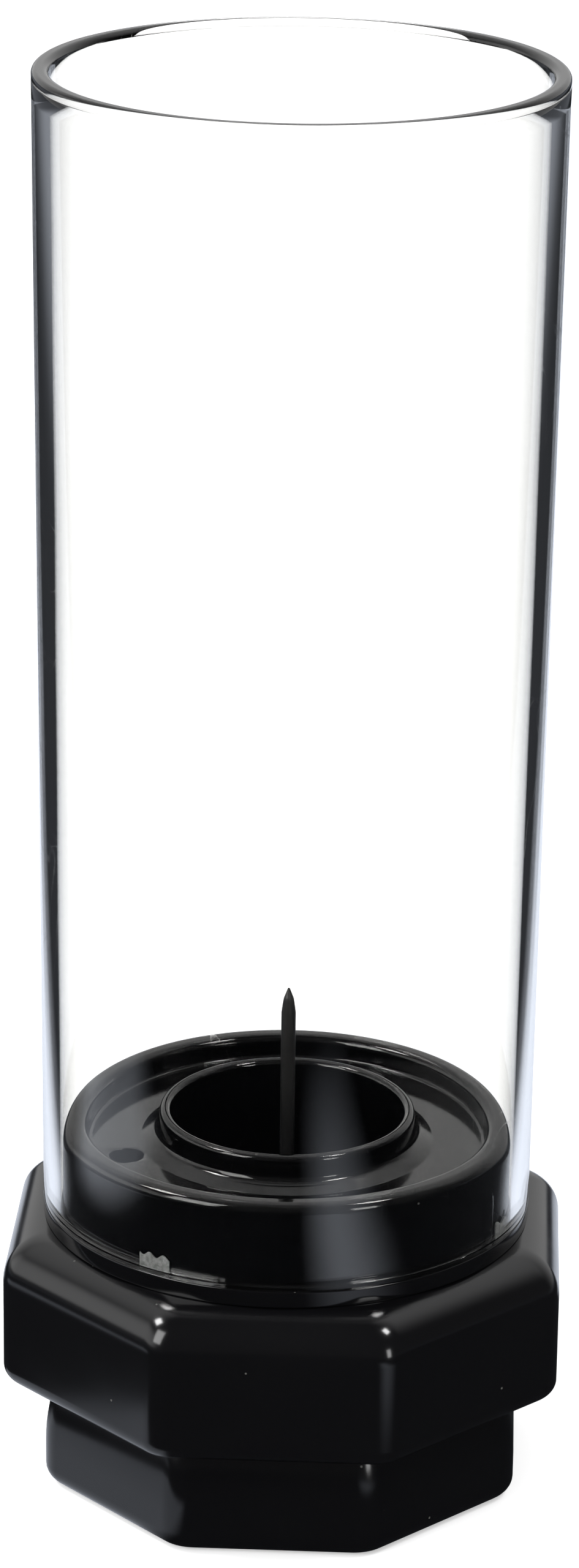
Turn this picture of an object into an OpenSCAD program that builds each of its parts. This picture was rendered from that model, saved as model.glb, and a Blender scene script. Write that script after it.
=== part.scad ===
// Fuel sampler cup: a clear tapered tube, open at its mouth, stands over a round
// black plug on an octagonal base, with a thin pointed probe in the plug's well.
// Origin at the middle of the foot's rest face, +Z up, millimetres.

/* [Cup tube] */
// Outside diameter at the mouth
mouth_d = 50; // [48:0.5:54]
// Outside diameter at the lower end
tube_end_d = 48.4; // [48:0.1:48.8]
// Length of the tube
tube_len = 113.1; // [70:0.1:160]
// Wall thickness of the tube
tube_wall = 1.7; // [1.5:0.05:1.75]

/* [Plug] */
// Diameter of the plug inside the tube
plug_d = 44.5; // [44:0.1:44.6]
// Height of the plug above its flange
plug_h = 8.4; // [7:0.1:12]
// Thickness of the flange that the tube stands on
flange_h = 1.7; // [1.2:0.1:3]
// Inside diameter of the raised wall around the trough
trough_outer_d = 39.7; // [38:0.1:40.5]
// Diameter of the foot of the ring between the trough and the well
ring_foot_d = 28.9; // [27.5:0.1:30]
// Largest diameter of the ring's rounded lip
ring_lip_d = 25.3; // [24.8:0.1:26]
// Diameter of the well's mouth
well_d = 23.1; // [22:0.1:23.2]
// Depth of the trough below the plug's rim
trough_depth = 2.4; // [1.8:0.1:3]
// Diameter of the blind hole in the trough's floor
hole_d = 3.3; // [2.5:0.1:4]
// Number of grip ribs around the plug
grip_rib_count = 5; // [3:1:8]

/* [Octagonal base] */
// Width across the flats of the octagon
octagon_af = 54.8; // [53:0.1:60]
// Height of the octagon
octagon_h = 15.4; // [13:0.1:20]
// Radius of the octagon's rounded shoulder
shoulder_r = 4.4; // [3:0.1:4.8]
// Width across the flats of the foot
foot_af = 46.8; // [44:0.1:50]
// Height of the foot
foot_h = 11.8; // [10:0.1:16]
// How far each side of the foot draws in towards its top
foot_draw = 1.4; // [0:0.1:2]
// Wall thickness of the two black shells
shell_wall = 2.2; // [1.8:0.1:2.6]

/* [Probe] */
// Diameter of the probe's rod
probe_d = 1.44; // [1.2:0.02:2]
// Height of the probe's tip above the plug's flange
probe_rise = 21.8; // [16:0.1:30]
// Length of the probe's point
probe_point = 2.6; // [2:0.1:5]

/* [Hidden] */
$fn = 96;

// Levels, from the rest face up
deck_z = foot_h + octagon_h;
seat_z = deck_z + flange_h;
mouth_z = seat_z + tube_len;
plug_top_z = seat_z + plug_h;
trough_z = plug_top_z - trough_depth;
well_floor_z = 16;
socket_z = well_floor_z + 5;
probe_tip_z = seat_z + probe_rise;

// Plug
plug_r = plug_d / 2;
trough_r = trough_outer_d / 2;
flange_r = tube_end_d / 2;
skirt_r = 21;
skirt_z = deck_z - 4.5;
lip_r = (ring_lip_d - well_d) / 4;
lip_mid_r = (ring_lip_d + well_d) / 4;
lip_top_z = plug_top_z + 0.8;
floor_t = 1.8;
well_draft = 0.5;
well_wall = 1.5;
hole_pos_r = 16.5;
hole_angle = 201.3;
hole_depth = 4.5;
rib_w = 1.6;
rib_h = 5.2;
rib_proud = 0.19;
rib_start = -101.5;
socket_r = 2.6;
socket_depth = 4;
fit_gap = 0.02;

// Base
octagon_a = octagon_af / 2;
foot_a = foot_af / 2;
octagon_corner_r = 2.2;
foot_corner_r = 3.8;
octagon_edge_r = 1.2;
foot_edge_r = 2;
foot_bend_z = 8.2;
foot_straight_z = 4.5;
deck_t = 2.4;
lip_h = 3;
guide_r = well_d / 2 + well_wall + 0.4;
guide_wall = 1.8;
rib_t = 1.6;
arc_steps = 6;
sheet = 0.01;

// Points on an arc about (cx, cy), from angle a0 to angle a1
function arc(cx, cy, r, a0, a1, n = arc_steps) =
    [for (i = [0:n]) [cx + r * cos(a0 + (a1 - a0) * i / n), cy + r * sin(a0 + (a1 - a0) * i / n)]];

// Octagon with flats facing the axes, of apothem a, its corners rounded to radius r
function octagon(a, r, n = 4) =
    [for (k = [0:7]) for (p = arc((a - r) / cos(22.5) * cos(45 * k + 22.5),
                                  (a - r) / cos(22.5) * sin(45 * k + 22.5),
                                  r, 45 * k, 45 * k + 45, n)) p];

// One thin layer of a solid octagon
module layer(a, r, z) {
    translate([0, 0, z]) linear_extrude(sheet) polygon(octagon(a, r));
}

// Octagonal block from z0 to z1 with its lower edge and its shoulder rounded
module octagon_block(a, corner, z0, z1, edge, shoulder) {
    hull() {
        for (t = [0:22.5:90]) layer(a - edge * (1 - sin(t)), corner, z0 + edge * (1 - cos(t)));
        for (t = [0:10:90]) layer(a - shoulder * (1 - cos(t)), corner, z1 - shoulder * (1 - sin(t)) - sheet);
    }
}

// Clear moulded tube, drafted outside and inside, with a rounded rim at its mouth
module cup_tube() {
    r_end = tube_end_d / 2;
    r_mouth = mouth_d / 2;
    rim_out = 0.5;
    rim_in = 0.7;
    color([0.93, 0.95, 0.95, 0.35])
    rotate_extrude()
    polygon(concat(
        [[r_end - tube_wall, seat_z], [r_end - 0.15, seat_z], [r_end, seat_z + 0.15]],
        arc(r_mouth - rim_out, mouth_z - rim_out, rim_out, 0, 90),
        arc(r_mouth - tube_wall + rim_in, mouth_z - rim_in, rim_in, 90, 180)));
}

// Outline of the plug's cross-section, from its flange over the rim into the well and back below
function plug_outline() = concat(
    [[skirt_r, deck_z], [flange_r, deck_z], [flange_r, seat_z], [plug_r, seat_z]],
    arc(plug_r - 0.9, plug_top_z - 0.9, 0.9, 0, 90),
    arc(trough_r + 0.8, plug_top_z - 0.8, 0.8, 90, 180),
    [[trough_r, trough_z], [ring_foot_d / 2, trough_z]],
    [[ring_lip_d / 2 + 0.9, trough_z + 1], [ring_lip_d / 2 + 0.1, lip_top_z - 1.3]],
    arc(lip_mid_r, lip_top_z - lip_r, lip_r, 0, 180, 8),
    [[well_d / 2 - well_draft, well_floor_z], [0, well_floor_z], [0, well_floor_z - well_wall]],
    [[well_d / 2 - well_draft + well_wall, well_floor_z - well_wall]],
    [[well_d / 2 + well_wall, trough_z - floor_t], [trough_r, trough_z - floor_t]],
    [[trough_r, skirt_z], [skirt_r, skirt_z]]);

// Black plug that closes the tube: flange, grip ribs, trough, ring, well and the probe's socket
module plug() {
    hole_at = [hole_pos_r * cos(hole_angle), hole_pos_r * sin(hole_angle), 0];
    color([0.05, 0.05, 0.055])
    difference() {
        union() {
            rotate_extrude() polygon(plug_outline());
            translate([0, 0, well_floor_z - 0.5]) cylinder(h = socket_z - well_floor_z + 0.5, r = socket_r);
            translate(hole_at + [0, 0, trough_z - hole_depth - 1.2])
                cylinder(h = hole_depth + 1.2 - floor_t / 2, r = hole_d / 2 + 1.2);
            for (i = [0:grip_rib_count - 1]) rotate([0, 0, rib_start + i * 360 / grip_rib_count])
                translate([plug_r - 0.6, -rib_w / 2, seat_z - 0.2]) cube([0.6 + rib_proud, rib_w, rib_h + 0.2]);
        }
        translate(hole_at + [0, 0, trough_z - hole_depth]) cylinder(h = hole_depth + 1, r = hole_d / 2);
        translate([0, 0, socket_z - socket_depth]) cylinder(h = socket_depth + 1, r = probe_d / 2 + fit_gap);
    }
}

// Upper black shell: the large octagon with its shoulder, open below, bored for the plug
module octagon_shell() {
    color([0.05, 0.05, 0.055])
    difference() {
        octagon_block(octagon_a, octagon_corner_r, foot_h, deck_z, octagon_edge_r, shoulder_r);
        octagon_block(octagon_a - shell_wall, 1, foot_h - 1, deck_z - deck_t, 0.1, shoulder_r - shell_wall);
        translate([0, 0, foot_h]) cylinder(h = octagon_h + 1, r = skirt_r + fit_gap);
    }
}

// Solid outline of the foot: rounded below, then drawn in by two slopes up to the collar
module foot_solid() {
    bend_a = foot_a - foot_draw / 4;
    hull() {
        for (t = [0:22.5:90]) layer(foot_a - foot_edge_r * (1 - sin(t)), foot_corner_r, foot_edge_r * (1 - cos(t)));
        layer(foot_a, foot_corner_r, foot_straight_z);
        layer(bend_a, foot_corner_r, foot_bend_z - sheet);
    }
    hull() {
        layer(bend_a, foot_corner_r, foot_bend_z - 2 * sheet);
        layer(foot_a - foot_draw, foot_corner_r, foot_h - sheet);
    }
}

// Lower black shell: the octagonal foot, a plate that closes the upper shell, ribs and a guide for the well
module foot_shell() {
    plate_t = 2;
    inner_a = foot_a - foot_draw - 1.2;
    color([0.05, 0.05, 0.055])
    difference() {
        union() {
            difference() {
                foot_solid();
                translate([0, 0, -1]) linear_extrude(foot_h - plate_t + 1) polygon(octagon(inner_a, 1));
            }
            linear_extrude_at(foot_h - sheet, lip_h + sheet) polygon(octagon(octagon_a - shell_wall - 0.1, 1));
            linear_extrude_at(1.5, foot_h - plate_t) circle(r = guide_r + guide_wall);
            for (k = [0:7]) rotate([0, 0, 45 * k + 22.5])
                translate([guide_r + 0.5, -rib_t / 2, 1.5]) cube([inner_a - guide_r + 1.6, rib_t, foot_h - plate_t - 1]);
        }
        translate([0, 0, -1]) cylinder(h = foot_h + lip_h + 2, r = guide_r);
        translate([0, 0, foot_h]) linear_extrude(lip_h + 1) polygon(octagon(octagon_a - 2 * shell_wall, 1));
    }
}

// linear_extrude of height h standing at level z
module linear_extrude_at(z, h) {
    translate([0, 0, z]) linear_extrude(h) children();
}

// Thin dark rod, seated in the plug's socket, with a pencil point
module probe() {
    r = probe_d / 2;
    tip_r = 0.12;
    color([0.16, 0.15, 0.14])
    rotate_extrude($fn = 48)
    polygon([[0, socket_z - socket_depth], [r, socket_z - socket_depth], [r, probe_tip_z - probe_point],
             [r * 0.72, probe_tip_z - probe_point * 0.45], [tip_r, probe_tip_z - tip_r / 2], [0, probe_tip_z]]);
}

cup_tube();
plug();
octagon_shell();
foot_shell();
probe();
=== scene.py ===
"""Fuel sampler cup: a clear tube on a black plug, an octagonal collar and foot, and a thin pointed probe.

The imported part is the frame, in metres, +Z up, its front towards -Y. Sizes in the sections are in
millimetres and are turned into metres as each surface is made.
"""

import math

import bmesh
import bpy
import numpy as np
from mathutils import Matrix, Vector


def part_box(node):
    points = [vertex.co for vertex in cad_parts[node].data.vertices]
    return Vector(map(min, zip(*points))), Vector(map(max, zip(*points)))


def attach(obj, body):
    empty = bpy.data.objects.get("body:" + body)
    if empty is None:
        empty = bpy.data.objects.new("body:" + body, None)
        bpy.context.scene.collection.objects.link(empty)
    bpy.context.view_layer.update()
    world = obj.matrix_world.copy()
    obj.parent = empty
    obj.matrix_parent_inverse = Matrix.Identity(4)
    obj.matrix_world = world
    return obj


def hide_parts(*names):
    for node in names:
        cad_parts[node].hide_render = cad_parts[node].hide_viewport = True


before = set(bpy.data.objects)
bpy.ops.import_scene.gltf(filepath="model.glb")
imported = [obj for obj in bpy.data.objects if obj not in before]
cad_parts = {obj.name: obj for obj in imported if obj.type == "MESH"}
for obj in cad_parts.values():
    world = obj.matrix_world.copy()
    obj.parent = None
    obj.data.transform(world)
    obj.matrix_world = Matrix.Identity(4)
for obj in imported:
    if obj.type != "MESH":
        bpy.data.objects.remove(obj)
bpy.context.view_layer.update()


# ---------------------------------------------------------------------------------------------------------
# Foot. The lower black moulding: an octagonal skirt, hollow from below, with a plate across its top, a
# short spigot that centres the collar, a round guide for the plug's well, and eight ribs that tie the
# guide to the skirt's corners. Glossy injection-moulded plastic, solvent-bonded to the collar.

MM = 0.001


def rounded_path(corners, steps=8, lead=0.08, pitch=None):
    """Points of a path with rounded corners. corners are (x, z, rounding). Each corner's arc is tangent to
    both sides: its centre lies rounding / sin(half angle) along the bisector, and its points turn evenly
    from one tangent to the other. A lead point stands just outside each end of the arc, so that shading
    stays flat beside it, and straight stretches longer than pitch are divided evenly."""
    corners = [tuple(c) + (0.0,) * (3 - len(c)) for c in corners]
    path = []
    for k, (x, z, radius) in enumerate(corners):
        here = np.array([x, z], float)
        if radius <= 0 or k in (0, len(corners) - 1):
            path.append(here)
            continue
        back = np.array(corners[k - 1][:2]) - here
        ahead = np.array(corners[k + 1][:2]) - here
        back_len, ahead_len = np.linalg.norm(back), np.linalg.norm(ahead)
        back, ahead = back / back_len, ahead / ahead_len
        opening = math.acos(float(np.clip(back @ ahead, -1, 1)))
        reach = radius / math.tan(opening / 2)
        middle = here + (back + ahead) / np.linalg.norm(back + ahead) * radius / math.sin(opening / 2)
        first, last = here + back * reach - middle, here + ahead * reach - middle
        turn = math.pi - opening
        if reach + lead < back_len * 0.98:
            path.append(here + back * (reach + lead))
        for s in np.linspace(0, 1, steps + 1):
            mixed = math.sin((1 - s) * turn) * first + math.sin(s * turn) * last
            path.append(middle + mixed / math.sin(turn))
        if reach + lead < ahead_len * 0.98:
            path.append(here + ahead * (reach + lead))
    if pitch:
        dense = [path[0]]
        for a, b in zip(path[:-1], path[1:]):
            parts = max(1, int(np.linalg.norm(b - a) / pitch))
            dense += [a + (b - a) * i / parts for i in range(1, parts + 1)]
        path = dense
    return np.array(path)


def octagon_reach(turn, apothem, corner):
    """Distance from the axis to a rounded octagon's outline in each direction. Along a flat it is
    apothem / cos(angle from the flat's middle). Within a corner's arc it is the far crossing of the ray
    with a circle of radius corner that touches both flats."""
    eighth = math.radians(22.5)
    off = np.abs((turn + eighth) % (2 * eighth) - eighth)
    flat = apothem / np.cos(off)
    from_corner = eighth - off
    centre = (apothem - corner) / math.cos(eighth)
    side = np.clip(corner**2 - (centre * np.sin(from_corner)) ** 2, 0, None)
    arc = centre * np.cos(from_corner) + np.sqrt(side)
    tangent = math.atan2(corner * math.sin(eighth), centre + corner * math.cos(eighth))
    return np.where(from_corner < tangent, arc, flat)


def octagon_turns(flat_parts=14, corner_parts=18, corner_half=math.radians(4.2)):
    """Directions round the axis, close together at the octagon's eight corners and wide apart on its
    flats."""
    corner = np.linspace(-corner_half, corner_half, corner_parts, endpoint=False)
    flat = np.linspace(corner_half, math.radians(45) - corner_half, flat_parts, endpoint=False)
    sector = np.concatenate([corner, flat]) + math.radians(22.5)
    return np.concatenate([sector + math.radians(45) * k for k in range(8)])


def grid_mesh(name, points, loop):
    """Mesh over a grid of points in mm: row i runs once round the axis, and rows follow the section. loop
    joins the last row to the first. Rows that shrink to one point on the axis close into a pole."""
    rows, cols = points.shape[:2]
    i = np.arange(rows if loop else rows - 1)[:, None]
    j = np.arange(cols)[None, :]
    below, beside = (i + 1) % rows, (j + 1) % cols
    quads = np.stack([i * cols + j, i * cols + beside, below * cols + beside, below * cols + j], -1)
    mesh = bpy.data.meshes.new(name)
    mesh.from_pydata((points.reshape(-1, 3) * MM).tolist(), [], quads.reshape(-1, 4).tolist())
    return mesh


def finish_mesh(name, mesh, crease=32):
    """Merges doubles, turns the faces outwards, and shades smooth except at edges sharper than crease
    degrees."""
    tool = bmesh.new()
    tool.from_mesh(mesh)
    bmesh.ops.remove_doubles(tool, verts=tool.verts, dist=1e-7)
    bmesh.ops.recalc_face_normals(tool, faces=tool.faces)
    tool.to_mesh(mesh)
    tool.free()
    mesh.shade_smooth()
    mesh.set_sharp_from_angle(angle=math.radians(crease))
    obj = bpy.data.objects.new(name, mesh)
    bpy.context.scene.collection.objects.link(obj)
    return obj


def octagonal_rows(path, turns, corner, round_rows):
    """Rows for a section carried round the axis: each point (apothem, height) becomes a rounded octagon of
    that apothem, or a circle where round_rows says so."""
    rows = []
    for (apothem, height), is_round in zip(path, round_rows):
        reach = np.full_like(turns, apothem) if is_round else octagon_reach(turns, apothem, corner)
        level = np.full_like(turns, height)
        rows.append(np.stack([reach * np.cos(turns), reach * np.sin(turns), level], -1))
    return np.array(rows)


def joined(name, objects):
    """One object made of several."""
    with bpy.context.temp_override(
        active_object=objects[0],
        object=objects[0],
        selected_editable_objects=objects,
        selected_objects=objects,
    ):
        bpy.ops.object.join()
    objects[0].name = name
    return objects[0]


_, foot_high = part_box("foot_shell")
foot_top = 11.8
foot_apothem = 23.4
foot_draw = 1.4
foot_straight = 4.5
foot_corner = 3.8
foot_round = 2.0
foot_wall = 1.2
foot_inside = foot_apothem - foot_draw - foot_wall
plate = 2.0
step_down = 0.01
guide_in, guide_out = 13.45, 15.25
guide_end, guide_fillet = 1.5, 0.5
spigot_out, spigot_in, spigot_top = foot_high.x / MM, 22.2, foot_high.z / MM


def drawn_in_side(parts=9):
    """The foot's side from its top down to its straight part: a hollow arc whose radius follows from how
    far it draws in over its height, and whose lower end is upright."""
    height = foot_top - foot_straight
    sweep = 2 * math.atan(foot_draw / height)
    radius = height / math.sin(sweep)
    angles = np.linspace(sweep, 0, parts)
    reach = foot_apothem - radius * (1 - np.cos(angles))
    level = foot_straight + radius * np.sin(angles) - step_down
    return list(zip(reach, level))


turns = octagon_turns()
skirt_section = rounded_path(
    [
        (guide_in, foot_top),
        (spigot_in, foot_top, 0.2),
        (spigot_in, spigot_top, 0.2),
        (spigot_out, spigot_top, 0.4),
        (spigot_out, foot_top - step_down, 0.0),
        *drawn_in_side(),
        (foot_apothem, 0.0, foot_round),
        (foot_inside, 0.0, 0.3),
        (foot_inside, foot_top - plate, 0.6),
        (guide_out, foot_top - plate, guide_fillet),
        (guide_out, guide_end, 0.3),
        (guide_in, guide_end, 0.3),
        (guide_in, foot_top),
    ]
)[:-1]
is_guide = skirt_section[:, 0] < guide_out + guide_fillet + 0.1
foot_mesh = grid_mesh("foot", octagonal_rows(skirt_section, turns, foot_corner, is_guide), loop=True)
foot_parts = [finish_mesh("foot", foot_mesh)]

rib_thick = 1.6
rib_foot, rib_head = guide_end + 0.3, foot_top - plate + 0.5
rib_start, rib_end = guide_out - 0.3, foot_inside + 2.0
rib_edge = rounded_path(
    [
        (0, rib_head),
        (-rib_thick / 2, rib_head),
        (-rib_thick / 2, rib_foot, 0.4),
        (rib_thick / 2, rib_foot, 0.4),
        (rib_thick / 2, rib_head),
        (0, rib_head),
    ],
    steps=4,
)[:-1]
for k in range(8):
    heading = math.radians(22.5 + 45 * k)
    along = np.array([math.cos(heading), math.sin(heading)])
    across = np.array([-math.sin(heading), math.cos(heading)])
    rows = []
    for distance, scale in ((rib_start, 0.0), (rib_start, 1.0), (rib_end, 1.0), (rib_end, 0.0)):
        middle = np.array([0.0, (rib_foot + rib_head) / 2])
        outline = middle + (rib_edge - middle) * scale
        flat = along * distance + across * outline[:, :1]
        rows.append(np.concatenate([flat, outline[:, 1:]], 1))
    foot_parts.append(finish_mesh("rib", grid_mesh("rib", np.array(rows), loop=False)))
foot = joined("foot", foot_parts)


def moulded_surface_group():
    """Surface of a moulding: a faint orange peel as Height, fine hairlines from handling, and sparse
    specks of dust. Peel is a soft noise, hairlines are the thin middle-lines of a stretched noise, specks
    are the hearts of a few cells of a cell pattern, and Cloud is a broad noise for drifting gloss."""
    group = bpy.data.node_groups.new("moulded_surface", "ShaderNodeTree")
    for label, value in (("Peel Size", 1.6), ("Line Size", 9.0), ("Speck Size", 2.2)):
        socket = group.interface.new_socket(label, in_out="INPUT", socket_type="NodeSocketFloat")
        socket.default_value = value
    for label in ("Height", "Lines", "Specks", "Cloud"):
        group.interface.new_socket(label, in_out="OUTPUT", socket_type="NodeSocketFloat")
    node, link = group.nodes.new, group.links.new
    inside, outside = node("NodeGroupInput"), node("NodeGroupOutput")
    place = node("ShaderNodeTexCoord").outputs["Object"]

    def per_metre(label):
        divide = node("ShaderNodeMath")
        divide.operation = "DIVIDE"
        divide.inputs[0].default_value = 1000.0
        link(inside.outputs[label], divide.inputs[1])
        return divide.outputs[0]

    peel = node("ShaderNodeTexNoise")
    peel.inputs["Detail"].default_value = 2.0
    link(place, peel.inputs["Vector"])
    link(per_metre("Peel Size"), peel.inputs["Scale"])
    link(peel.outputs["Fac"], outside.inputs["Height"])

    cloud = node("ShaderNodeTexNoise")
    cloud.inputs["Scale"].default_value = 70.0
    cloud.inputs["Detail"].default_value = 4.0
    link(place, cloud.inputs["Vector"])
    link(cloud.outputs["Fac"], outside.inputs["Cloud"])

    turned = node("ShaderNodeMapping")
    turned.inputs["Rotation"].default_value = (0.4, 0.9, 0.3)
    turned.inputs["Scale"].default_value = (1.0, 0.12, 0.25)
    link(place, turned.inputs["Vector"])
    lines = node("ShaderNodeTexNoise")
    lines.inputs["Detail"].default_value = 3.0
    link(turned.outputs["Vector"], lines.inputs["Vector"])
    link(per_metre("Line Size"), lines.inputs["Scale"])
    from_zero = node("ShaderNodeMath")
    from_zero.operation = "COMPARE"
    from_zero.inputs[1].default_value = 0.5
    from_zero.inputs[2].default_value = 0.0007
    link(lines.outputs["Fac"], from_zero.inputs[0])
    link(from_zero.outputs[0], outside.inputs["Lines"])

    cells = node("ShaderNodeTexVoronoi")
    link(place, cells.inputs["Vector"])
    link(per_metre("Speck Size"), cells.inputs["Scale"])
    heart = node("ShaderNodeMath")
    heart.operation = "LESS_THAN"
    heart.inputs[1].default_value = 0.055
    link(cells.outputs["Distance"], heart.inputs[0])
    split = node("ShaderNodeSeparateColor")
    link(cells.outputs["Color"], split.inputs[0])
    rare = node("ShaderNodeMath")
    rare.operation = "GREATER_THAN"
    rare.inputs[1].default_value = 0.8
    link(split.outputs[0], rare.inputs[0])
    speck = node("ShaderNodeMath")
    speck.operation = "MULTIPLY"
    link(heart.outputs[0], speck.inputs[0])
    link(rare.outputs[0], speck.inputs[1])
    link(speck.outputs[0], outside.inputs["Specks"])
    return group


moulded_surface = moulded_surface_group()


def black_moulding(name, colour, gloss_low, gloss_high, peel_mm, peel_depth):
    """Glossy black plastic: near-black colour with dust specks, roughness that drifts between two values,
    and the orange peel as a bump."""
    material = bpy.data.materials.new(name)
    material.use_nodes = True
    tree = material.node_tree
    shader = tree.nodes["Principled BSDF"]
    shader.inputs["IOR"].default_value = 1.5
    surface = tree.nodes.new("ShaderNodeGroup")
    surface.node_tree = moulded_surface
    surface.inputs["Peel Size"].default_value = peel_mm
    tint = tree.nodes.new("ShaderNodeMix")
    tint.data_type = "RGBA"
    tint.inputs["A"].default_value = (*colour, 1)
    tint.inputs["B"].default_value = (0.06, 0.06, 0.055, 1)
    tree.links.new(surface.outputs["Specks"], tint.inputs["Factor"])
    tree.links.new(tint.outputs["Result"], shader.inputs["Base Color"])
    gloss = tree.nodes.new("ShaderNodeMapRange")
    gloss.inputs["From Min"].default_value = 0.3
    gloss.inputs["From Max"].default_value = 0.7
    gloss.inputs["To Min"].default_value = gloss_low
    gloss.inputs["To Max"].default_value = gloss_high
    tree.links.new(surface.outputs["Cloud"], gloss.inputs["Value"])
    tree.links.new(gloss.outputs["Result"], shader.inputs["Roughness"])
    peel = tree.nodes.new("ShaderNodeBump")
    peel.inputs["Strength"].default_value = 1.0
    peel.inputs["Distance"].default_value = peel_depth * MM
    tree.links.new(surface.outputs["Height"], peel.inputs["Height"])
    tree.links.new(peel.outputs["Normal"], shader.inputs["Normal"])
    return material


base_black = black_moulding("base_black", (0.0022, 0.0022, 0.0026), 0.12, 0.2, 1.8, 0.0035)
foot.data.materials.append(base_black)
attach(foot, "base")
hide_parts("foot_shell")


# ---------------------------------------------------------------------------------------------------------
# Collar. The large octagonal shell above the foot, open below, with a broad rounded shoulder that rises to
# a narrow flat deck round the bore. The plug's skirt is bonded into the bore. Same black plastic.

collar_low, collar_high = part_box("octagon_shell")
collar_apothem = collar_high.x / MM
collar_bottom, deck = collar_low.z / MM, collar_high.z / MM
collar_corner = 3.4
collar_wall = 2.2
collar_round = 1.9
shoulder = 4.4
bore = 21.02
bore_depth = 2.4
collar_section = rounded_path(
    [
        (bore, deck - bore_depth),
        (bore, deck, 0.15),
        (collar_apothem, deck, shoulder),
        (collar_apothem, collar_bottom, collar_round),
        (collar_apothem - collar_wall, collar_bottom, 0.0),
        (collar_apothem - collar_wall, deck - bore_depth, 2.2),
        (bore, deck - bore_depth),
    ],
    steps=14,
)[:-1]
is_bore = collar_section[:, 0] < bore + 0.4
collar_mesh = grid_mesh("collar", octagonal_rows(collar_section, turns, collar_corner, is_bore), loop=True)
collar = finish_mesh("collar", collar_mesh)
collar.data.materials.append(base_black)
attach(collar, "base")
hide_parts("octagon_shell")


# ---------------------------------------------------------------------------------------------------------
# Plug. The round black moulding that closes the tube: a flange that the tube stands on, a wall with five
# grip ribs, a trough with one small blind hole, a ring with a flared foot, and the deep well with the
# probe's socket in its floor.

plug_low, plug_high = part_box("plug")
flange_r = plug_high.x / MM
plug_bottom, lip_top = plug_low.z / MM, plug_high.z / MM
seat = deck + 1.7
rim_top = seat + 8.4
trough = rim_top - 2.4
plug_r = 22.25
trough_out = 19.85
ring_in, ring_out, ring_foot = 11.55, 12.65, 14.6
well_floor = 16.0
socket_top, socket_floor, socket_r, boss_r = 21.0, 17.0, 0.74, 2.6
skirt_r, skirt_end = 21.0, deck - 4.5
trough_under = trough - 1.8
well_root, well_end = 13.05, ring_in + 1.0
plug_path = rounded_path(
    [
        (0, socket_floor),
        (socket_r, socket_floor),
        (socket_r, socket_top, 0.1),
        (boss_r, socket_top, 0.5),
        (boss_r, well_floor, 0.6),
        (ring_in - 0.5, well_floor, 1.0),
        (ring_in, lip_top, 0.54),
        (ring_out, lip_top, 0.54),
        (ring_out + 0.15, trough + 0.75, 0.9),
        (ring_foot, trough, 0.5),
        (trough_out, trough, 0.45),
        (trough_out, rim_top, 0.8),
        (plug_r, rim_top, 0.95),
        (plug_r, seat, 0.12),
        (flange_r, seat, 0.12),
        (flange_r, deck, 0.12),
        (skirt_r, deck, 0.0),
        (skirt_r, skirt_end, 0.3),
        (trough_out, skirt_end, 0.3),
        (trough_out, trough_under, 0.5),
        (well_root, trough_under, 0.5),
        (well_end, plug_bottom, 0.9),
        (0, plug_bottom),
    ],
    steps=6,
)
on_wall = np.abs(plug_path[:, 0] - plug_r) < 0.01
wall_start = int(np.argmax(np.where(on_wall[:-1] & on_wall[1:], -np.diff(plug_path[:, 1]), 0)))
wall_head, wall_foot = plug_path[wall_start], plug_path[wall_start + 1]
wall_rows = [wall_head + (wall_foot - wall_head) * t for t in np.linspace(0, 1, 24)]
plug_path = np.concatenate([plug_path[:wall_start], wall_rows, plug_path[wall_start + 2 :]])

grip_ribs = 5
grip_first = math.radians(-101.5)
grip_pitch = 2 * math.pi / grip_ribs
grip_half, grip_proud = 0.95, 0.19
grip_top = seat + 4.2
dense = np.linspace(-1.25, 1.25, 15) * grip_half / plug_r
round_turns = np.sort(
    np.concatenate(
        [np.linspace(0, 2 * math.pi, 256, endpoint=False)]
        + [(grip_first + grip_pitch * k + dense) % (2 * math.pi) for k in range(grip_ribs)]
    )
)


def grip_height(turn, height, radius):
    """How far the grip ribs stand proud of the plug's outer wall: the height of a half-round bar with a
    domed top, from the distance to the bar's middle line."""
    aside = np.abs((turn - grip_first + grip_pitch / 2) % grip_pitch - grip_pitch / 2) * plug_r
    above = max(height - grip_top, 0.0)
    off = np.hypot(aside, above) / grip_half
    on_wall = (abs(radius - plug_r) < 0.01) & (height > seat + 0.03)
    return grip_proud * np.sqrt(np.clip(1 - off**2, 0, 1)) * on_wall


plug_rows = []
for radius, height in plug_path:
    reach = radius + grip_height(round_turns, height, radius)
    level = np.full_like(round_turns, height)
    plug_rows.append(np.stack([reach * np.cos(round_turns), reach * np.sin(round_turns), level], -1))
plug = finish_mesh("plug", grid_mesh("plug", np.array(plug_rows), loop=False))

# The blind hole is cut with a pin that flares at the trough's floor, and a short post under the floor
# keeps the wall round it.
hole_r, hole_depth, hole_at = 1.65, 4.5, 16.5
post_r, post_foot, post_head = 2.85, trough - 5.7, trough - 0.9
hole_heading = math.radians(201.3)
hole_x, hole_y = hole_at * math.cos(hole_heading), hole_at * math.sin(hole_heading)


def pin_solid(name, path, sides=72):
    """A turned solid on the hole's axis: each point (radius, height) of path becomes a circle."""
    around = np.linspace(0, 2 * math.pi, sides, endpoint=False)
    rows = [
        np.stack([hole_x + r * np.cos(around), hole_y + r * np.sin(around), np.full_like(around, z)], -1)
        for r, z in path
    ]
    return finish_mesh(name, grid_mesh(name, np.array(rows), loop=False))


def cut(target, tool, operation):
    """Combines tool with target, keeps the result as target's own mesh, and removes tool."""
    step = target.modifiers.new(operation.lower(), "BOOLEAN")
    step.operation, step.solver, step.object = operation, "EXACT", tool
    bpy.context.view_layer.update()
    mesh = bpy.data.meshes.new_from_object(target.evaluated_get(bpy.context.evaluated_depsgraph_get()))
    target.modifiers.clear()
    target.data = mesh
    bpy.data.objects.remove(tool)


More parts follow.
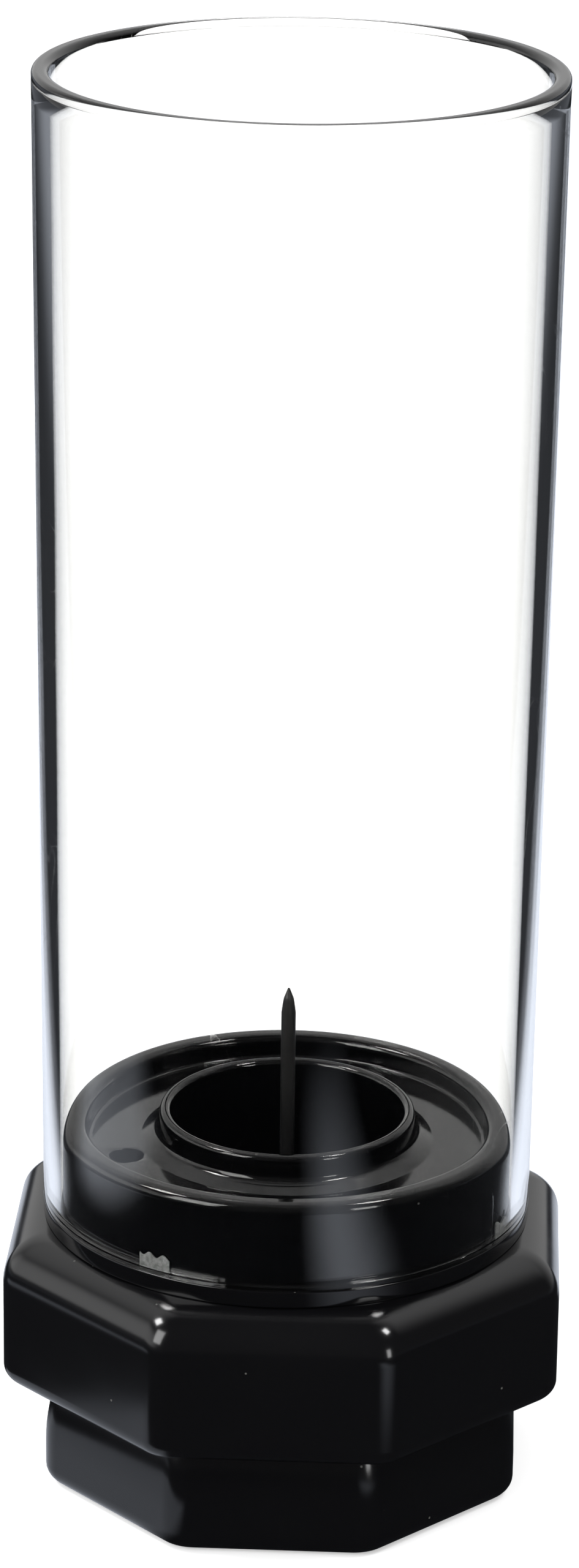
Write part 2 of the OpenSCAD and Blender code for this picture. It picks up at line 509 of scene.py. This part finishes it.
post_path = [(0, post_foot), (post_r, post_foot), (post_r, post_head), (0, post_head)]
cut(plug, pin_solid("post", post_path), "UNION")
hole_path = [
    (0, trough - hole_depth),
    (hole_r, trough - hole_depth),
    (hole_r, trough - 0.16),
    (hole_r + 0.05, trough - 0.05),
    (hole_r + 0.2, trough + 0.01),
    (hole_r + 0.2, trough + 1),
    (0, trough + 1),
]
cut(plug, pin_solid("hole", hole_path), "DIFFERENCE")
plug.data.set_sharp_from_angle(angle=math.radians(32))
plug_black = black_moulding("plug_black", (0.002, 0.002, 0.0023), 0.07, 0.12, 1.8, 0.0015)
plug.data.materials.clear()
plug.data.materials.append(plug_black)
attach(plug, "base")
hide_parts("plug")


# ---------------------------------------------------------------------------------------------------------
# Probe. A thin blackened rod, seated in the well's socket, ground to a pencil point that opens the drain
# valve. Fine grinding marks run round it.

probe_low, probe_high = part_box("probe")
probe_r, tip = probe_high.x / MM, probe_high.z / MM
point_start = tip - 2.6
probe_path = rounded_path(
    [
        (0, probe_low.z / MM),
        (probe_r, probe_low.z / MM, 0.1),
        (probe_r, point_start, 0.3),
        (probe_r * 0.72, tip - 1.15, 1.5),
        (0.1, tip - 0.05, 0.03),
        (0, tip),
    ],
    pitch=0.8,
)
probe_turns = np.linspace(0, 2 * math.pi, 64, endpoint=False)
probe_rows = [
    np.stack([r * np.cos(probe_turns), r * np.sin(probe_turns), np.full_like(probe_turns, z)], -1)
    for r, z in probe_path
]
probe = finish_mesh("probe", grid_mesh("probe", np.array(probe_rows), loop=False))


def blackened_rod():
    """Dull blackened metal: a near-black grey that drifts a little, with fine rings from grinding."""
    material = bpy.data.materials.new("blackened_rod")
    material.use_nodes = True
    tree = material.node_tree
    shader = tree.nodes["Principled BSDF"]
    shader.inputs["IOR"].default_value = 1.55
    surface = tree.nodes.new("ShaderNodeGroup")
    surface.node_tree = moulded_surface
    tint = tree.nodes.new("ShaderNodeMix")
    tint.data_type = "RGBA"
    tint.inputs["A"].default_value = (0.008, 0.008, 0.008, 1)
    tint.inputs["B"].default_value = (0.02, 0.019, 0.018, 1)
    tree.links.new(surface.outputs["Cloud"], tint.inputs["Factor"])
    tree.links.new(tint.outputs["Result"], shader.inputs["Base Color"])
    shader.inputs["Roughness"].default_value = 0.38
    place = tree.nodes.new("ShaderNodeTexCoord")
    squeeze = tree.nodes.new("ShaderNodeMapping")
    squeeze.inputs["Scale"].default_value = (300.0, 300.0, 6000.0)
    rings = tree.nodes.new("ShaderNodeTexNoise")
    rings.inputs["Scale"].default_value = 1.0
    bump = tree.nodes.new("ShaderNodeBump")
    bump.inputs["Strength"].default_value = 0.4
    bump.inputs["Distance"].default_value = 0.02 * MM
    tree.links.new(place.outputs["Object"], squeeze.inputs["Vector"])
    tree.links.new(squeeze.outputs["Vector"], rings.inputs["Vector"])
    tree.links.new(rings.outputs["Fac"], bump.inputs["Height"])
    tree.links.new(bump.outputs["Normal"], shader.inputs["Normal"])
    return material


probe.data.materials.append(blackened_rod())
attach(probe, "base")
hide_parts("probe")


# ---------------------------------------------------------------------------------------------------------
# Cup tube. A clear moulded tube, drafted so that it widens towards its open mouth, with a rounded rim, a
# fine parting line under the rim, and small frosted gate marks inside its lower edge. It pushes down over
# the plug's grip ribs and lifts off for cleaning.

tube_low, tube_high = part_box("cup_tube")
mouth_r = tube_high.x / MM
tube_bottom, mouth = tube_low.z / MM, tube_high.z / MM
tube_end_r = 24.2
wall = 1.7
sway = 0.006
parting, parting_half, parting_deep, parting_lip = mouth - 0.95, 0.05, 0.045, 0.01
seam_r = tube_end_r - 0.9
calm_start, calm_length = mouth - 2, 10
tube_path = rounded_path(
    [
        (seam_r, tube_bottom),
        (tube_end_r, tube_bottom, 0.15),
        (mouth_r - parting_lip, parting - parting_half),
        (mouth_r - parting_deep, parting),
        (mouth_r - parting_lip, parting + parting_half),
        (mouth_r, mouth, 0.5),
        (mouth_r - wall, mouth, 0.7),
        (tube_end_r - wall, tube_bottom, 0.15),
        (seam_r, tube_bottom),
    ],
    steps=10,
    pitch=1.6,
)[:-1]
tube_turns = np.linspace(0, 2 * math.pi, 512, endpoint=False)


def wall_sway(turn, height):
    """Slow waves of a moulded wall, a few hundredths of a millimetre: three sines of angle and height."""
    return sway * (
        0.45 * np.sin(3 * turn + 0.05 * height)
        + 0.35 * np.sin(5 * turn - 0.11 * height + 1.0)
        + 0.2 * np.sin(9 * turn + 0.23 * height + 2.0)
    )


tube_rows = []
for radius, height in tube_path:
    calm = np.clip((calm_start - height) / calm_length, 0, 1)
    rise = (height - tube_bottom) / (mouth - tube_bottom)
    outer = radius > tube_end_r - wall / 2 + 0.4 * rise
    waves = wall_sway(tube_turns, height) if outer else -1.3 * wall_sway(tube_turns + 1.7, height)
    reach = radius - sway + calm * waves
    level = np.full_like(tube_turns, height)
    tube_rows.append(np.stack([reach * np.cos(tube_turns), reach * np.sin(tube_turns), level], -1))
tube = finish_mesh("tube", grid_mesh("tube", np.array(tube_rows), loop=True), crease=50)

# Gate marks: four thin frosted scars inside the lower edge, where the moulding was broken off its runners.
gate_headings = [math.radians(a - 90) for a in (-30.7, 67.6, 149.3, 247.6)]
gate_half, gate_skin, gate_high, gate_ragged = 1.65, 0.1, 1.7, 0.14
gate_outer = tube_end_r - wall - 0.04
gate_turns = np.linspace(-1, 1, 15) * gate_half / gate_outer
gates = []
for heading in gate_headings:
    rows = []
    for step, turn in enumerate(gate_turns):
        ragged = gate_high * (1 - gate_ragged + gate_ragged * math.sin(5.3 * step + 9 * heading))
        low, high = tube_bottom + 0.05, tube_bottom + ragged
        inner = gate_outer - gate_skin
        section = [(inner, low), (gate_outer, low), (gate_outer, high), (inner, high)]
        rows.append([(r * math.cos(heading + turn), r * math.sin(heading + turn), z) for r, z in section])
    ends = [[tuple(np.mean(rows[k], axis=0))] * 4 for k in (0, -1)]
    gates.append(finish_mesh("gate", grid_mesh("gate", np.array([ends[0], *rows, ends[1]]), loop=False)))
gate_marks = joined("gate_marks", gates)


def frosted_scar():
    """Broken clear plastic: grey, rough, with a coarse grain."""
    material = bpy.data.materials.new("frosted_scar")
    material.use_nodes = True
    tree = material.node_tree
    shader = tree.nodes["Principled BSDF"]
    shader.inputs["Roughness"].default_value = 0.5
    shader.inputs["IOR"].default_value = 1.48
    place = tree.nodes.new("ShaderNodeTexCoord")
    grain = tree.nodes.new("ShaderNodeTexNoise")
    grain.inputs["Scale"].default_value = 2600.0
    tone = tree.nodes.new("ShaderNodeMix")
    tone.data_type = "RGBA"
    tone.inputs["A"].default_value = (0.02, 0.02, 0.02, 1)
    tone.inputs["B"].default_value = (0.42, 0.43, 0.42, 1)
    bump = tree.nodes.new("ShaderNodeBump")
    bump.inputs["Distance"].default_value = 0.05 * MM
    tree.links.new(place.outputs["Object"], grain.inputs["Vector"])
    tree.links.new(grain.outputs["Fac"], tone.inputs["Factor"])
    tree.links.new(tone.outputs["Result"], shader.inputs["Base Color"])
    tree.links.new(grain.outputs["Fac"], bump.inputs["Height"])
    tree.links.new(bump.outputs["Normal"], shader.inputs["Normal"])
    return material


gate_marks.data.materials.append(frosted_scar())
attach(gate_marks, "cup")


def clear_plastic():
    """Clear moulded plastic: colourless and smooth, with handling hairlines."""
    material = bpy.data.materials.new("clear_plastic")
    material.use_nodes = True
    tree = material.node_tree
    shader = tree.nodes["Principled BSDF"]
    shader.inputs["Base Color"].default_value = (1.0, 1.0, 0.99, 1)
    shader.inputs["IOR"].default_value = 1.48
    shader.inputs["Transmission Weight"].default_value = 1.0
    surface = tree.nodes.new("ShaderNodeGroup")
    surface.node_tree = moulded_surface
    surface.inputs["Line Size"].default_value = 14.0
    hairlines = tree.nodes.new("ShaderNodeMath")
    hairlines.operation = "MULTIPLY_ADD"
    hairlines.inputs[1].default_value = 0.06
    hairlines.inputs[2].default_value = 0.012
    tree.links.new(surface.outputs["Lines"], hairlines.inputs[0])
    tree.links.new(hairlines.outputs[0], shader.inputs["Roughness"])
    return material


tube.data.materials.append(clear_plastic())
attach(tube, "cup")
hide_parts("cup_tube")


# ---------------------------------------------------------------------------------------------------------
# Floor. A plain pale table. In gloss and in the clear wall's inner reflections it shows painted reflections
# instead: it glows as a pale sheet on a dark bench. This draws the wall with dark edges and keeps the black
# parts black. The painted sheet lies behind the cup and widens away from it.


def met_gloss(tree):
    """1 for light that has met a glossy or totally reflecting surface on its way, else 0."""
    path = tree.nodes.new("ShaderNodeLightPath")
    met = tree.nodes.new("ShaderNodeMath")
    met.operation = "GREATER_THAN"
    met.inputs[1].default_value = 0.5
    tree.links.new(path.outputs["Glossy Depth"], met.inputs[0])
    return met.outputs[0]


def ramp(tree, value, start, end, low, high):
    """value turned from low to high between start and end, with soft ends."""
    turn = tree.nodes.new("ShaderNodeMapRange")
    turn.interpolation_type = "SMOOTHSTEP"
    for label, number in (("From Min", start), ("From Max", end), ("To Min", low), ("To Max", high)):
        turn.inputs[label].default_value = number
    tree.links.new(value, turn.inputs["Value"])
    return turn.outputs["Result"]


def combine(tree, operation, first, second=None):
    """One arithmetic step on one or two sockets."""
    step = tree.nodes.new("ShaderNodeMath")
    step.operation = operation
    tree.links.new(first, step.inputs[0])
    if second is not None:
        tree.links.new(second, step.inputs[1])
    return step.outputs[0]


# Painted reflections: patches where the bench glows only in gloss, to put highlights on the black parts.
# The columns are the start and end of the fade on the left, right, front and back sides of each patch, in
# metres,
# and its strength. In order: front right, far left, close beside the foot.
PAINTED_REFLECTION_PATCHES = [
    ((0.012, 0.04), (0.04, 0.075), (-0.15, -0.09), (-0.07, -0.04), 0.75),
    ((-0.14, -0.12), (-0.10, -0.085), (-0.07, -0.04), (0.01, 0.03), 0.7),
    ((-0.049, -0.045), (-0.015, -0.01), (-0.04, -0.032), (0.0, 0.01), 0.7),
]


def pale_floor():
    """Matt near-white table top with a very faint mottle; in gloss it shows painted reflections instead,
    see above.
    """
    material = bpy.data.materials.new("pale_floor")
    material.use_nodes = True
    tree = material.node_tree
    shader = tree.nodes["Principled BSDF"]
    shader.inputs["Roughness"].default_value = 0.7
    shader.inputs["Specular IOR Level"].default_value = 0.0
    place = tree.nodes.new("ShaderNodeTexCoord")
    mottle = tree.nodes.new("ShaderNodeTexNoise")
    mottle.inputs["Scale"].default_value = 6.0
    tone = tree.nodes.new("ShaderNodeMix")
    tone.data_type = "RGBA"
    tone.inputs["A"].default_value = (0.80, 0.80, 0.80, 1)
    tone.inputs["B"].default_value = (0.82, 0.82, 0.82, 1)
    tree.links.new(place.outputs["Object"], mottle.inputs["Vector"])
    tree.links.new(mottle.outputs["Fac"], tone.inputs["Factor"])
    tree.links.new(tone.outputs["Result"], shader.inputs["Base Color"])
    shader.inputs["Emission Color"].default_value = (1, 1, 1, 1)
    shader.inputs["Emission Strength"].default_value = 0.40
    axes = tree.nodes.new("ShaderNodeSeparateXYZ")
    tree.links.new(place.outputs["Object"], axes.inputs[0])
    sideways = combine(tree, "ABSOLUTE", axes.outputs["X"])
    widening = tree.nodes.new("ShaderNodeMath")
    widening.operation = "MULTIPLY"
    widening.inputs[1].default_value = 0.07
    tree.links.new(axes.outputs["Y"], widening.inputs[0])
    beyond = combine(tree, "SUBTRACT", sideways, widening.outputs[0])
    # Painted reflection: a pale sheet behind the cup that glows only in gloss.
    painted_sheet = combine(
        tree,
        "MULTIPLY",
        ramp(tree, beyond, 0.060, 0.078, 1, 0),
        ramp(tree, axes.outputs["Y"], 0.03, 0.05, 0, 1),
    )
    glint = None
    # Painted reflections: patches of the bench that glow only in gloss and put highlights on the black
    # parts.
    for left, right, front, back, strength in PAINTED_REFLECTION_PATCHES:
        across = combine(
            tree,
            "MULTIPLY",
            ramp(tree, axes.outputs["X"], left[0], left[1], 0, 1),
            ramp(tree, axes.outputs["X"], right[0], right[1], 1, 0),
        )
        along = combine(
            tree,
            "MULTIPLY",
            ramp(tree, axes.outputs["Y"], front[0], front[1], 0, 1),
            ramp(tree, axes.outputs["Y"], back[0], back[1], strength, 0),
        )
        spot = combine(tree, "MULTIPLY", across, along)
        glint = spot if glint is None else combine(tree, "MAXIMUM", glint, spot)
    # Painted reflection: a dark bench that grows brighter to the sides and the back, seen only in gloss.
    painted_bench = combine(
        tree,
        "MULTIPLY",
        ramp(tree, sideways, 0.24, 0.40, 0.03, 0.25),
        ramp(tree, axes.outputs["Y"], -0.1, 0.1, 0.3, 1),
    )
    # The painted reflections glow with a cool tint. Only rays that have met gloss see them; the camera sees
    # the plain pale floor.
    painted_glow = tree.nodes.new("ShaderNodeEmission")
    painted_glow.inputs["Color"].default_value = (0.9, 0.96, 1.08, 1)
    lit = combine(tree, "MAXIMUM", combine(tree, "MAXIMUM", painted_sheet, glint), painted_bench)
    tree.links.new(lit, painted_glow.inputs["Strength"])
    either = tree.nodes.new("ShaderNodeMixShader")
    tree.links.new(met_gloss(tree), either.inputs[0])
    tree.links.new(shader.outputs[0], either.inputs[1])
    tree.links.new(painted_glow.outputs[0], either.inputs[2])
    tree.links.new(either.outputs[0], tree.nodes["Material Output"].inputs["Surface"])
    return material


floor_half = 8.0
floor_mesh = bpy.data.meshes.new("floor")
floor_mesh.from_pydata(
    [
        (-floor_half, -floor_half, 0),
        (floor_half, -floor_half, 0),
        (floor_half, floor_half, 0),
        (-floor_half, floor_half, 0),
    ],
    [],
    [(0, 1, 2, 3)],
)
floor = bpy.data.objects.new("floor", floor_mesh)
bpy.context.scene.collection.objects.link(floor)
floor.data.materials.append(pale_floor())


# ---------------------------------------------------------------------------------------------------------
# Light. A white surround lights the floor. In gloss it is bright only behind the cup, overhead and low on
# the left, and four soft boxes model the black parts.

world = bpy.data.worlds.new("studio")
bpy.context.scene.world = world
world.use_nodes = True
sky = world.node_tree
direction = sky.nodes.new("ShaderNodeTexCoord")
sky_axes = sky.nodes.new("ShaderNodeSeparateXYZ")
sky.links.new(direction.outputs["Generated"], sky_axes.inputs[0])
behind = ramp(sky, sky_axes.outputs["Y"], 0.1, 0.85, 0.05, 0.8)
wall_height = combine(
    sky,
    "MULTIPLY",
    ramp(sky, sky_axes.outputs["Z"], 0.02, 0.12, 0, 1),
    ramp(sky, sky_axes.outputs["Z"], 0.45, 0.7, 1, 0),
)
left_wall = combine(sky, "MULTIPLY", ramp(sky, sky_axes.outputs["X"], -0.95, -0.6, 1.5, 0), wall_height)
overhead = combine(
    sky,
    "MULTIPLY",
    ramp(sky, sky_axes.outputs["Z"], 0.25, 0.85, 0.0, 1.0),
    ramp(sky, sky_axes.outputs["Y"], -0.15, 0.35, 0, 1),
)
surround = sky.nodes.new("ShaderNodeMix")
surround.data_type = "RGBA"
surround.inputs["A"].default_value = (1, 1, 1, 1)
sky.links.new(met_gloss(sky), surround.inputs["Factor"])
bright = combine(sky, "MAXIMUM", combine(sky, "MAXIMUM", behind, left_wall), overhead)
sky.links.new(bright, surround.inputs["B"])
sky.links.new(surround.outputs["Result"], sky.nodes["Background"].inputs["Color"])


cup_foot = (0, 0, 0.03)


def facing(axes, place):
    """The 4 x 4 placement of something at place whose own x, y and z lie along the three axes given."""
    return Matrix([(*row, spot) for row, spot in zip(np.stack(axes, 1), place)] + [(0, 0, 0, 1)])


def soft_box(name, place, target, width, height, power):
    """A rectangular lamp at place, facing target."""
    lamp = bpy.data.lights.new(name, "AREA")
    lamp.shape, lamp.size, lamp.size_y, lamp.energy = "RECTANGLE", width, height, power
    obj = bpy.data.objects.new(name, lamp)
    bpy.context.scene.collection.objects.link(obj)
    away = np.array(place, float) - np.array(target, float)
    away /= np.linalg.norm(away)
    right = np.cross([0, 0, 1], away)
    right /= np.linalg.norm(right)
    up = np.cross(away, right)
    obj.matrix_world = facing([right, up, away], place)


soft_box("left_box", (-0.45, -0.45, 0.4), cup_foot, 0.3, 0.4, 2.5)
soft_box("upper_left_box", (-0.52, -0.05, 0.75), cup_foot, 0.2, 0.2, 3.0)
soft_box("upper_right_box", (0.42, -0.2, 0.8), cup_foot, 0.16, 0.2, 2.2)
soft_box("right_box", (0.5, -0.6, 0.16), cup_foot, 0.16, 0.26, 0.9)


# ---------------------------------------------------------------------------------------------------------
# Camera. A long lens, a little above the rim, looking down at the whole cup.

eye_distance, eye_height = 0.45899, 0.23631
swing, pitch, roll = math.radians(-2.3), math.radians(19.723), math.radians(0.784)
aim_aside = math.radians(0.027)
heading = swing - aim_aside
eye = np.array([-eye_distance * math.sin(swing), -eye_distance * math.cos(swing), eye_height])
level_ahead = math.cos(pitch) * np.array([math.sin(heading), math.cos(heading)])
ahead = np.array([*level_ahead, -math.sin(pitch)])
level = np.cross(ahead, [0, 0, 1])
level /= np.linalg.norm(level)
above = np.cross(level, ahead)
right = math.cos(roll) * level + math.sin(roll) * above
up = -math.sin(roll) * level + math.cos(roll) * above
camera = bpy.data.objects.new("camera", bpy.data.cameras.new("camera"))
bpy.context.scene.collection.objects.link(camera)
camera.data.sensor_width = 36.0
camera.data.lens = 115.335
camera.data.clip_start = 0.01
camera.matrix_world = facing([right, up, -ahead], eye)
bpy.context.scene.camera = camera
bpy.context.scene.view_settings.view_transform = "Standard"
